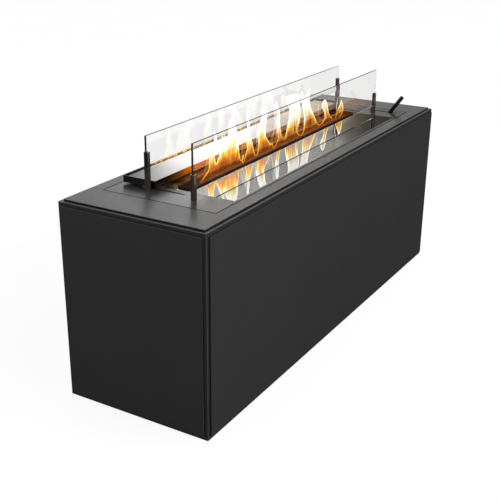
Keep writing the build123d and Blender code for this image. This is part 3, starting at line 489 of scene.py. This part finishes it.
# The flame front as a line, in mm along the burner and above the floor, tongue by tongue
FRONT = [
    (-352, 451), (-346, 454), (-341, 460), (-331, 468), (-323, 475), (-316, 488), (-312, 497), (-307, 511), (-302, 523), (-298, 538), (-295, 554),
    (-292, 540), (-290, 522), (-292, 503), (-288, 492), (-285, 485), (-281, 476),
    (-277, 480), (-273, 487), (-267, 499), (-262, 513), (-255, 534),
    (-252, 512), (-248, 498),
    (-242, 518), (-235, 534), (-229, 551), (-221, 581), (-216, 598),
    (-209, 580), (-205, 558), (-204, 537), (-208, 514), (-203, 490), (-195, 471), (-186, 463), (-178, 465), (-173, 472),
    (-173, 465), (-177, 458), (-171, 453),
    (-162, 461), (-154, 476), (-152, 492), (-149, 514), (-146, 530), (-142, 565), (-138, 595),
    (-133, 565), (-134, 540), (-134, 521), (-131, 504), (-128, 487), (-119, 463), (-110, 455),
    (-100, 460), (-94, 479), (-97, 501), (-94, 521), (-89, 541), (-84, 573), (-78, 590),
    (-69, 565), (-66, 543), (-69, 516), (-71, 495), (-62, 481), (-50, 470), (-41, 466), (-35, 469),
    (-32, 462), (-24, 454),
    (-13, 460), (-5, 473), (-7, 488), (-15, 505), (-21, 527), (-27, 562), (-21, 597),
    (-10, 580), (-4, 555), (-2, 530), (8, 506), (15, 490), (22, 473), (32, 462),
    (41, 465), (45, 478), (46, 498), (49, 527), (53, 559), (64, 586),
    (78, 568), (92, 578),
    (100, 548), (99, 518), (95, 492), (91, 475), (101, 461), (115, 454),
    (126, 458), (129, 469), (122, 485), (123, 506), (123, 539), (122, 576),
    (134, 558), (148, 548), (157, 563), (170, 584),
    (168, 560), (169, 538), (177, 511), (190, 490), (203, 472), (221, 459),
    (238, 461), (251, 476), (246, 488), (238, 499), (233, 511), (240, 523),
    (255, 514), (267, 503), (279, 489), (290, 473), (297, 463), (306, 461),
    (303, 455), (293, 451),
]
SIDE = [  # the small tongue that stands by itself at the lever end
    (326, 451), (331, 462), (335, 481), (340, 494), (346, 502),
    (352, 492), (358, 482), (361, 470), (358, 459), (350, 451),
]
REAR = [  # a second, lower front behind the first
    (-336, 451), (-326, 462), (-318, 480), (-313, 503), (-306, 520),
    (-300, 505), (-299, 484), (-292, 468), (-283, 464), (-274, 474), (-268, 492), (-262, 517), (-252, 540),
    (-245, 524), (-242, 500), (-236, 483), (-227, 480), (-221, 496), (-219, 520), (-211, 545),
    (-199, 530), (-197, 505), (-190, 482), (-178, 466), (-166, 464), (-156, 480), (-153, 505), (-144, 528),
    (-138, 506), (-133, 482), (-124, 462), (-112, 459), (-100, 470), (-91, 494), (-85, 524), (-76, 546),
    (-70, 526), (-66, 500), (-56, 478), (-44, 464), (-30, 462), (-16, 476), (-9, 502), (-8, 530), (2, 556),
    (10, 536), (12, 508), (21, 484), (34, 468), (46, 474), (54, 496), (60, 526), (70, 550),
    (80, 528), (84, 500), (93, 476), (106, 464), (118, 470), (126, 492), (130, 520), (140, 548),
    (150, 530), (154, 504), (165, 480), (180, 464), (196, 462), (210, 474), (219, 494), (229, 514),
    (237, 496), (243, 476), (256, 463), (270, 464), (280, 478), (288, 488),
    (292, 472), (296, 458), (298, 451),
]


def smooth_line(points, step=1.6):
    """A round curve through the points, ends open, in steps of about step mm."""
    p = np.array(points, float)
    p = np.vstack([2 * p[0] - p[1], p, 2 * p[-1] - p[-2]])
    out = []
    for i in range(1, len(p) - 2):
        a, b, c, d = p[i - 1:i + 3]
        n = max(2, int(np.hypot(*(c - b)) / step))
        for k in range(n):
            t = k / n
            out.append(0.5 * (2 * b + (c - a) * t + (2 * a - 5 * b + 4 * c - d) * t * t + (3 * b - a - 3 * c + d) * t ** 3))
    out.append(p[-2])
    return np.array(out)


def waves(x, z, seed):
    """How far the sheet of flame swings across the burner, in mm."""
    a = 3.6 * np.sin(x * 0.043 + seed) + 2.4 * np.sin(x * 0.097 + z * 0.035 + 2.1 * seed)
    b = 3.0 * np.sin(z * 0.055 + x * 0.021 + 1.3 * seed) * np.clip((z - 455) / 60, 0, 1.4)
    return a * np.clip((z - 446) / 30, 0.25, 1.0) + b


def near_line(q, line):
    """Distance of each point to a line of points."""
    best = np.full(len(q), 1e9)
    for a, b in zip(line[:-1], line[1:]):
        ab = b - a
        t = np.clip(((q - a) @ ab) / max(ab @ ab, 1e-9), 0, 1)
        best = np.minimum(best, np.hypot(*(q - a - t[:, None] * ab).T))
    return best


def inside(q, ring):
    x, y = q.T
    hit = np.zeros(len(q), bool)
    for (x0, y0), (x1, y1) in zip(ring, np.roll(ring, -1, 0)):
        if y0 == y1:
            continue
        cross = (y0 > y) != (y1 > y)
        hit ^= cross & (x < (x1 - x0) * (y - y0) / (y1 - y0) + x0)
    return hit


def flame_sheet(name, points, depth, seed, thick, mat, body="casing"):
    """A thin closed lens of flame with this outline. Vertex values say how near the outline is."""
    line = smooth_line(points)
    line[:, 1] = np.minimum(line[:, 1], TOP_Z * 1000)
    ring = line
    lo, hi = ring.min(0), ring.max(0)
    gx, gz = np.meshgrid(np.arange(lo[0], hi[0], 3.0), np.arange(lo[1] + 1.5, hi[1], 3.0))
    gx = gx + 1.5 * (np.round((gz - lo[1]) / 3.0) % 2)
    q = np.stack([gx.ravel(), gz.ravel()], 1)
    q = q[inside(q, ring)]
    d = near_line(q, line)
    q, d = q[d > 1.3], d[d > 1.3]
    n = len(ring)
    edges = [(i, (i + 1) % n) for i in range(n)]
    vs, _, fs, orig, *_ = delaunay_2d_cdt([Vector(v) for v in np.vstack([ring, q])], edges, [list(range(n))], 1, 1e-5)
    v2 = np.array([tuple(v) for v in vs])
    dist = near_line(v2, line)
    foot = np.abs(v2[:, 1] - min(ring[0, 1], ring[-1, 1])) < 0.05
    rim = dist < 1e-3
    x, z = v2.T
    y = waves(x, z, seed) + depth
    t = thick * (1 - np.exp(-dist / 7.0))
    bm = bmesh.new()
    front, back = [], []
    for i in range(len(v2)):
        a = bm.verts.new((x[i] / 1000, (y[i] - t[i]) / 1000, z[i] / 1000))
        b = a if rim[i] else bm.verts.new((x[i] / 1000, (y[i] + t[i]) / 1000, z[i] / 1000))
        front.append(a)
        back.append(b)
    for f in fs:
        fa = [front[i] for i in f]
        if len(set(fa)) == 3:
            try:
                bm.faces.new(fa)
            except ValueError:
                pass
        fb = [back[i] for i in reversed(f)]
        if fb and any(front[i] is not back[i] for i in f):
            try:
                bm.faces.new(fb)
            except ValueError:
                pass
    bm.verts.ensure_lookup_table()
    loose = [v for v in bm.verts if not v.link_faces]
    bmesh.ops.delete(bm, geom=loose, context="VERTS")
    bmesh.ops.recalc_face_normals(bm, faces=bm.faces)
    me = bpy.data.meshes.new(name)
    bm.to_mesh(me)
    bm.free()
    co = np.array([v.co for v in me.vertices]) * 1000
    dd = near_line(co[:, [0, 2]], line)
    # the lower part of the outline stays dim, so the open foot isn't drawn as a line
    at = me.attributes.new("edge", "FLOAT", "POINT")
    at.data.foreach_set("value", dd.astype(np.float32))
    for f in me.polygons:
        f.use_smooth = True
    ob = bpy.data.objects.new(name, me)
    scene.collection.objects.link(ob)
    me.materials.append(mat)
    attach(ob, body)
    return ob


def tube(name, lines, mat, sides=6, body="casing"):
    """Closed round threads along lines of (x, y, z, radius) in mm, as one mesh."""
    bm = bmesh.new()
    for pts in lines:
        pts = np.array(pts, float)
        p = pts[:, :3] / 1000
        r = pts[:, 3] / 1000
        tan = np.gradient(p, axis=0)
        tan /= np.maximum(np.linalg.norm(tan, axis=1, keepdims=True), 1e-12)
        up = np.array([0.0, 1.0, 0.0])
        rings = []
        for i in range(len(p)):
            a = np.cross(tan[i], up)
            a /= max(np.linalg.norm(a), 1e-9)
            b = np.cross(tan[i], a)
            ring = [bm.verts.new(p[i] + r[i] * (a * math.cos(k * 2 * math.pi / sides) + b * math.sin(k * 2 * math.pi / sides))) for k in range(sides)]
            rings.append(ring)
        for ra, rb in zip(rings[:-1], rings[1:]):
            for k in range(sides):
                bm.faces.new((ra[k], ra[(k + 1) % sides], rb[(k + 1) % sides], rb[k]))
        bm.faces.new(rings[0][::-1])
        bm.faces.new(rings[-1])
    bmesh.ops.recalc_face_normals(bm, faces=bm.faces)
    me = bpy.data.meshes.new(name)
    bm.to_mesh(me)
    bm.free()
    for f in me.polygons:
        f.use_smooth = True
    ob = bpy.data.objects.new(name, me)
    scene.collection.objects.link(ob)
    me.materials.append(mat)
    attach(ob, body)
    return ob


def flame_material(name, sheet, power=1.0):
    """Glowing gas: it adds its own light to what is behind it. Hotter near its outline, streaky inside."""
    m = bpy.data.materials.new(name)
    t = Tree(m)
    p = t.n("ShaderNodeBsdfPrincipled")
    out = t.n("ShaderNodeOutputMaterial")
    t.l(p.outputs[0], out.inputs["Surface"])
    p.inputs["Base Color"].default_value = (0, 0, 0, 1)
    p.inputs["Roughness"].default_value = 1.0
    p.inputs["Specular IOR Level"].default_value = 0.0
    tc = t.n("ShaderNodeTexCoord")
    xyz = t.n("ShaderNodeSeparateXYZ")
    t.l(tc.outputs["Object"], xyz.inputs[0])
    z = xyz.outputs["Z"]
    streak = t.noise(t.coords((1.0, 0.3, 0.12)), 150.0, 3.0, 0.6, 0.4)
    fades = t.span(z, 0.553, 0.5680, 1.0, 0.0)
    if sheet:
        at = t.n("ShaderNodeAttribute", attribute_name="edge")
        near = t.math("EXPONENT", t.math("MULTIPLY", at.outputs["Fac"], -0.50))
        wide = t.math("EXPONENT", t.math("MULTIPLY", at.outputs["Fac"], -0.105))
        lines = t.span(streak, 0.39, 0.61, 0.0, 1.0)
        lift = t.span(z, 0.458, 0.486, 0.02, 1.0)
        # open and streaky near the foot, full above
        body = t.math("MULTIPLY_ADD", wide, 0.25, t.math("MULTIPLY_ADD", lines, 0.40, 0.24))
        body = t.math("MAXIMUM", body, t.span(z, 0.494, 0.522, 0.0, 0.96))
        # thinner gas towards the lever end
        body = t.math("MULTIPLY", body, t.span(xyz.outputs["X"], -0.14, 0.06, 1.0, 0.58))
        body = t.math("MULTIPLY", lift, body, clamp=True)
        rim = t.math("MULTIPLY", near, t.span(z, 0.456, 0.486, 0.12, 0.70))
        heat = t.math("ADD", t.span(z, 0.464, 0.530, 0.04, 0.97), t.math("MULTIPLY", wide, 0.20))
        heat = t.math("ADD", heat, t.math("MULTIPLY_ADD", lines, 0.40, -0.17))
        heat = t.math("ADD", heat, t.span(xyz.outputs["X"], -0.20, 0.00, 0.0, 0.03))
        heat = t.math("ADD", heat, t.math("MULTIPLY", near, 0.20), clamp=True)
        alpha = t.math("MULTIPLY", t.math("ADD", body, rim, clamp=True), 0.94 * power)
        alpha = t.math("MULTIPLY", alpha, fades)
    else:
        heat = t.math("ADD", t.span(streak, 0.3, 0.7, -0.06, 0.06), t.span(z, 0.456, 0.500, 0.52, 0.98), clamp=True)
        alpha = t.math("MULTIPLY", t.span(z, 0.454, 0.472, 0.42, 0.97), fades)
    glow = t.ramp(heat, (0.0, (0.17, 0.026, 0.002)), (0.15, (0.46, 0.090, 0.003)), (0.31, (0.82, 0.22, 0.006)), (0.47, (0.96, 0.39, 0.012)), (0.60, (1.0, 0.55, 0.035)), (0.72, (1.0, 0.74, 0.16)), (0.83, (1.0, 0.90, 0.52)), (0.93, (1.0, 1.0, 0.95)))
    t.l(glow, p.inputs["Emission Color"])
    p.inputs["Emission Strength"].default_value = 1.55
    t.l(alpha, p.inputs["Alpha"])
    m.cycles.emission_sampling = "NONE"
    return m


M_SHEET = flame_material("flame_gas", True)
M_BACK = flame_material("flame_gas_rear", True, 0.20)
M_EDGE = flame_material("flame_rim", False)


def outline_thread(points, depth, seed, r0, r1):
    """The bright rim of a sheet as (x, y, z, radius), thinner near the foot."""
    line = smooth_line(points)
    line[:, 1] = np.minimum(line[:, 1], TOP_Z * 1000 - 0.5)
    x, z = line.T
    y = waves(x, z, seed) + depth
    high = np.clip((z - 455) / 70, 0, 1)
    r = (r0 + (r1 - r0) * high) * np.clip((567.5 - z) / 22, 0.1, 1)
    r = r * (0.85 + 0.25 * np.sin(np.arange(len(r)) * 0.11 + seed))
    ends = np.minimum(np.arange(len(r)), np.arange(len(r))[::-1])
    r = r * np.clip(ends / 8.0, 0.15, 1.0)
    return np.stack([x, y, z, r], 1)


rng = np.random.default_rng(7)
strands = []
for x0, reach in ((-306, 34), (-262, 22), (-240, 48), (-222, 62), (-150, 50), (-141, 70), (-104, 40), (-86, 66), (-74, 40), (-28, 70), (-14, 76),
                  (52, 60), (68, 76), (84, 66), (98, 34), (128, 72), (146, 60), (160, 70), (244, 26), (262, 22), (341, 22)):
    n = 26
    u = np.linspace(0, 1, n)
    foot = 468 + rng.uniform(0, 10)
    z = foot + (reach + rng.uniform(4, 22)) * u
    sway = rng.uniform(2.0, 5.0) * np.sin(u * rng.uniform(2.4, 4.2) + rng.uniform(0, 6.3)) + rng.uniform(-5, 5) * u
    x = x0 + sway
    y = waves(x, z, 0.4) - 1.5 + rng.uniform(-2.5, 2.5)
    r = rng.uniform(0.32, 0.70) * np.sin(np.pi * (0.06 + 0.90 * u)) * np.clip((567.0 - z) / 18, 0.15, 1)
    strands.append(np.stack([x, y, np.minimum(z, 567.5), r], 1))

flames = [
    flame_sheet("flame_front", FRONT, -1.5, 0.4, 1.4, M_SHEET),
    flame_sheet("flame_side", SIDE, 0.0, 1.9, 1.6, M_SHEET),
    flame_sheet("flame_rear", REAR, 6.0, 2.7, 1.4, M_BACK),
    tube("flame_rim_front", [outline_thread(FRONT, -1.5, 0.4, 0.62, 1.05), outline_thread(SIDE, 0.0, 1.9, 0.6, 1.0)], M_EDGE),
    tube("flame_strands", strands, M_EDGE),
]
for ob in flames:
    ob.visible_diffuse = False
    ob.visible_shadow = False
    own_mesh(ob)

# ---------------------------------------------------------------- floor, light
bm = bmesh.new()
rings = []
for r in (0.0, 0.4, 1.0, 2.5, 6.0, 14.0, 40.0):
    if r == 0:
        rings.append([bm.verts.new((0, 0, 0))])
        continue
    rings.append([bm.verts.new((r * math.cos(k * math.pi / 24), r * math.sin(k * math.pi / 24), 0)) for k in range(48)])
for k in range(48):
    bm.faces.new((rings[0][0], rings[1][k], rings[1][(k + 1) % 48]))
for a, b in zip(rings[1:-1], rings[2:]):
    for k in range(48):
        bm.faces.new((a[k], b[k], b[(k + 1) % 48], a[(k + 1) % 48]))
me = bpy.data.meshes.new("floor")
bm.to_mesh(me)
bm.free()
floor = bpy.data.objects.new("floor", me)
scene.collection.objects.link(floor)
m = bpy.data.materials.new("pale_floor")
t = Tree(m)
p = t.n("ShaderNodeBsdfPrincipled")
out = t.n("ShaderNodeOutputMaterial")
t.l(p.outputs[0], out.inputs["Surface"])
p.inputs["Roughness"].default_value = 1.0
p.inputs["Specular IOR Level"].default_value = 0.0
t.l(t.ramp(t.noise(t.coords(), 3.0, 2.0, 0.5), (0.2, (0.095, 0.095, 0.095)), (0.8, (0.105, 0.105, 0.105))), p.inputs["Base Color"])
# white to look at; the light that it sends up to the casing is weaker close to the casing
tc = t.n("ShaderNodeTexCoord")
far = t.n("ShaderNodeVectorMath", operation="LENGTH")
t.l(tc.outputs["Object"], far.inputs[0])
path = t.n("ShaderNodeLightPath")
away = t.span(far.outputs["Value"], 0.25, 1.6, 0.25, 0.95)
eye = t.math("SUBTRACT", 1.0, path.outputs["Is Diffuse Ray"])
mix = t.n("ShaderNodeMix", data_type="FLOAT")
t.l(eye, mix.inputs[0])
t.l(away, mix.inputs[2])
mix.inputs[3].default_value = 0.88
p.inputs["Emission Color"].default_value = (1, 1, 1, 1)
t.l(mix.outputs[0], p.inputs["Emission Strength"])
m.cycles.emission_sampling = "NONE"
me.materials.append(m)
floor.visible_glossy = False
floor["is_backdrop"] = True

world = bpy.data.worlds.new("studio")
scene.world = world
t = Tree(world)
out = t.n("ShaderNodeOutputWorld")
tc = t.n("ShaderNodeTexCoord")
xyz = t.n("ShaderNodeSeparateXYZ")
t.l(tc.outputs["Generated"], xyz.inputs[0])
# directions in degrees: az from +X towards +Y, el above the floor
az = t.math("MULTIPLY", t.math("ARCTAN2", xyz.outputs["Y"], xyz.outputs["X"]), 57.29578)
el = t.math("MULTIPLY", t.math("ARCSINE", xyz.outputs["Z"]), 57.29578)


def levels(value, lo, hi, *stops):
    """A grey curve of value between lo and hi: stops are (value, radiance up to 8)."""
    x = t.ramp(t.span(value, lo, hi, 0.0, 1.0), *[((v - lo) / (hi - lo), (r / 8,) * 3) for v, r in stops])
    g = t.n("ShaderNodeRGBToBW")
    t.l(x, g.inputs[0])
    return t.math("MULTIPLY", g.outputs[0], 8.0)


def step(value, a, b):
    x = t.n("ShaderNodeMapRange", interpolation_type="SMOOTHSTEP")
    x.inputs["From Min"].default_value, x.inputs["From Max"].default_value = a, b
    t.l(value, x.inputs["Value"])
    return x.outputs["Result"]


# the studio's ceiling, bright overhead and dim near the horizon
sky = levels(el, -90, 90, (-90, 0.035), (-2, 0.035), (4, 0.22), (12, 0.42), (17, 0.60), (20, 0.95), (26, 1.60), (40, 1.75), (90, 1.45))
# a dark flag beyond the lever end
flag = t.math("MULTIPLY", step(az, -40, -10), t.math("SUBTRACT", 1.0, step(az, 21.5, 27.5)))
flag = t.math("MULTIPLY", flag, t.span(el, 14.5, 19.0, 0.88, 0.30))
sky = t.math("MULTIPLY", sky, t.math("SUBTRACT", 1.0, flag))
# a dark flag in front, seen only in upright faces by way of the mirror plate
front = t.math("MULTIPLY", step(az, -88, -70), t.math("SUBTRACT", 1.0, step(az, -14, -5)))
front = t.math("MULTIPLY", front, t.math("MULTIPLY", step(el, 4, 9), t.math("SUBTRACT", 1.0, step(el, 52, 62))))
sky = t.math("MULTIPLY", sky, t.math("SUBTRACT", 1.0, t.math("MULTIPLY", front, 0.93)))
# lower levels near the horizon at the lever end, and a small brighter patch above them
sky = t.math("MULTIPLY", sky, t.math("SUBTRACT", 1.0, t.math("MULTIPLY", t.math("SUBTRACT", 1.0, step(az, 25, 28)), t.math("MULTIPLY", t.math("SUBTRACT", 1.0, step(el, 12.8, 14.6)), 0.20))))
patch = t.math("MULTIPLY", t.math("MULTIPLY", step(az, 23.6, 24.8), t.math("SUBTRACT", 1.0, step(az, 26.4, 28.0))), t.math("MULTIPLY", step(el, 14.3, 15.0), t.math("SUBTRACT", 1.0, step(el, 16.2, 17.2))))
sky = t.math("ADD", sky, t.math("MULTIPLY", patch, 0.22))
# a long low soft box behind the object; its upper edge slopes
slope = t.math("MULTIPLY_ADD", az, -0.40, el)
box = t.math("MULTIPLY", step(slope, 4.3, 3.1), step(el, 8.0, 11.5))
box = t.math("MULTIPLY", box, levels(az, 20, 42, (20, 0.0), (23.5, 0.0), (24.4, 0.8), (25.4, 2.5), (29, 2.7), (30.6, 4.6), (31.6, 5.8), (34.0, 5.4), (35.2, 3.6), (36.6, 1.4), (38.0, 0.15), (42, 0.0)))
light = t.math("ADD", sky, box)
# a second, weaker box above the first
upper = t.math("MULTIPLY", step(el, 18.5, 20.5), t.math("SUBTRACT", 1.0, step(el, 27.0, 34.0)))
light = t.math("ADD", light, t.math("MULTIPLY", upper, levels(az, 15, 40, (15, 0.0), (20, 0.55), (26, 1.0), (29, 1.25), (32.5, 1.25), (34.5, 0.4), (36, 0.05), (40, 0.0))))
# pale floor seen in the posts' polished flanks
floor_glint = t.math("MULTIPLY", t.math("MULTIPLY", step(el, -52, -40), t.math("SUBTRACT", 1.0, step(el, -12, -4))), levels(az, -40, 40, (-40, 0.0), (3, 0.0), (7, 0.8), (16, 0.8), (21, 0.0), (40, 0.0)))
light = t.math("ADD", light, floor_glint)
side_glint = t.math("MULTIPLY", t.math("MULTIPLY", step(el, -40, -32), t.math("SUBTRACT", 1.0, step(el, -12, -6))), levels(az, -130, -50, (-130, 0.0), (-114, 0.0), (-104, 2.6), (-80, 2.6), (-68, 0.0), (-50, 0.0)))
light = t.math("ADD", light, side_glint)
path = t.n("ShaderNodeLightPath")
even = t.n("ShaderNodeMix", data_type="FLOAT")
t.l(path.outputs["Is Diffuse Ray"], even.inputs[0])
t.l(light, even.inputs[2])
even.inputs[3].default_value = 1.10
# what is seen straight or through glass is white
eye = t.math("LESS_THAN", t.math("ADD", path.outputs["Glossy Depth"], path.outputs["Diffuse Depth"]), 0.5)
seen = t.n("ShaderNodeMix", data_type="FLOAT")
t.l(eye, seen.inputs[0])
t.l(even.outputs[0], seen.inputs[2])
seen.inputs[3].default_value = 1.06
bg = t.n("ShaderNodeBackground")
warm = t.math("MULTIPLY", t.math("MULTIPLY", step(az, 31.0, 24.6), step(az, 21.6, 23.8)), t.span(el, 14.6, 12.8, 0.10, 1.0))
warm = t.math("MULTIPLY", warm, t.math("SUBTRACT", 1.0, t.math("MAXIMUM", eye, path.outputs["Is Diffuse Ray"])))
t.l(t.blend(warm, (1.0, 1.0, 1.0), (1.0, 0.76, 0.42)), bg.inputs["Color"])
t.l(seen.outputs[0], bg.inputs["Strength"])
t.l(bg.outputs[0], out.inputs["Surface"])
scene.cycles.transparent_max_bounces = 32


def lamp(name, kind, at, energy, colour, size, aim=None, hidden=True, **more):
    d = bpy.data.lights.new(name, kind)
    d.energy = energy
    d.color = colour
    if kind == "AREA":
        d.shape = "RECTANGLE"
        d.size, d.size_y = size
    else:
        d.shadow_soft_size = size
    ob = bpy.data.objects.new(name, d)
    ob.location = at
    if aim is not None:
        ob.rotation_mode = "QUATERNION"
        ob.rotation_quaternion = (Vector(aim) - Vector(at)).to_track_quat("-Z", "Y")
    scene.collection.objects.link(ob)
    ob.visible_camera = False
    if hidden:
        ob.visible_glossy = False
        ob.visible_transmission = False
    return ob


lamp("soft_front", "AREA", (0.4, -3.4, 2.0), 150.0, (1, 1, 1), (3.0, 2.0), aim=(0, 0, 0.4))
# the fire's own light: strips that shine back at the open cover, down on the burner, out to the lever end and at the cover's rear lip
fires = [
    lamp("fire_back", "AREA", (0.030, 0.002, 0.490), 9.6, (1.0, 0.285, 0.018), (0.74, 0.030), aim=(0.030, 1.002, 0.140)),
    lamp("fire_down", "AREA", (0.042, 0.000, 0.488), 0.30, (1.0, 0.220, 0.025), (0.75, 0.024), aim=(0.042, 0.000, 0.0)),
    lamp("fire_fore", "AREA", (0.050, -0.032, 0.492), 0.6, (1.0, 0.230, 0.028), (0.74, 0.010), aim=(0.050, -0.012, 0.450)),
    lamp("fire_end", "AREA", (0.470, -0.010, 0.530), 0.50, (1.0, 0.36, 0.08), (0.030, 0.030), aim=(0.550, 0.070, 0.454)),
    lamp("fire_lip", "AREA", (-0.030, 0.020, 0.540), 2.2, (1.0, 0.60, 0.20), (0.62, 0.010), aim=(-0.030, 0.130, 0.472)),
]
fires[3].data.spread = math.radians(92)
fires[4].data.spread = math.radians(40)
# the light goes down into the closed casing with the crank as the cover shuts, so no glow is left on a closed cover
for ob in fires:
    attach(ob, "rocker")

a, b = box0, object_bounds()
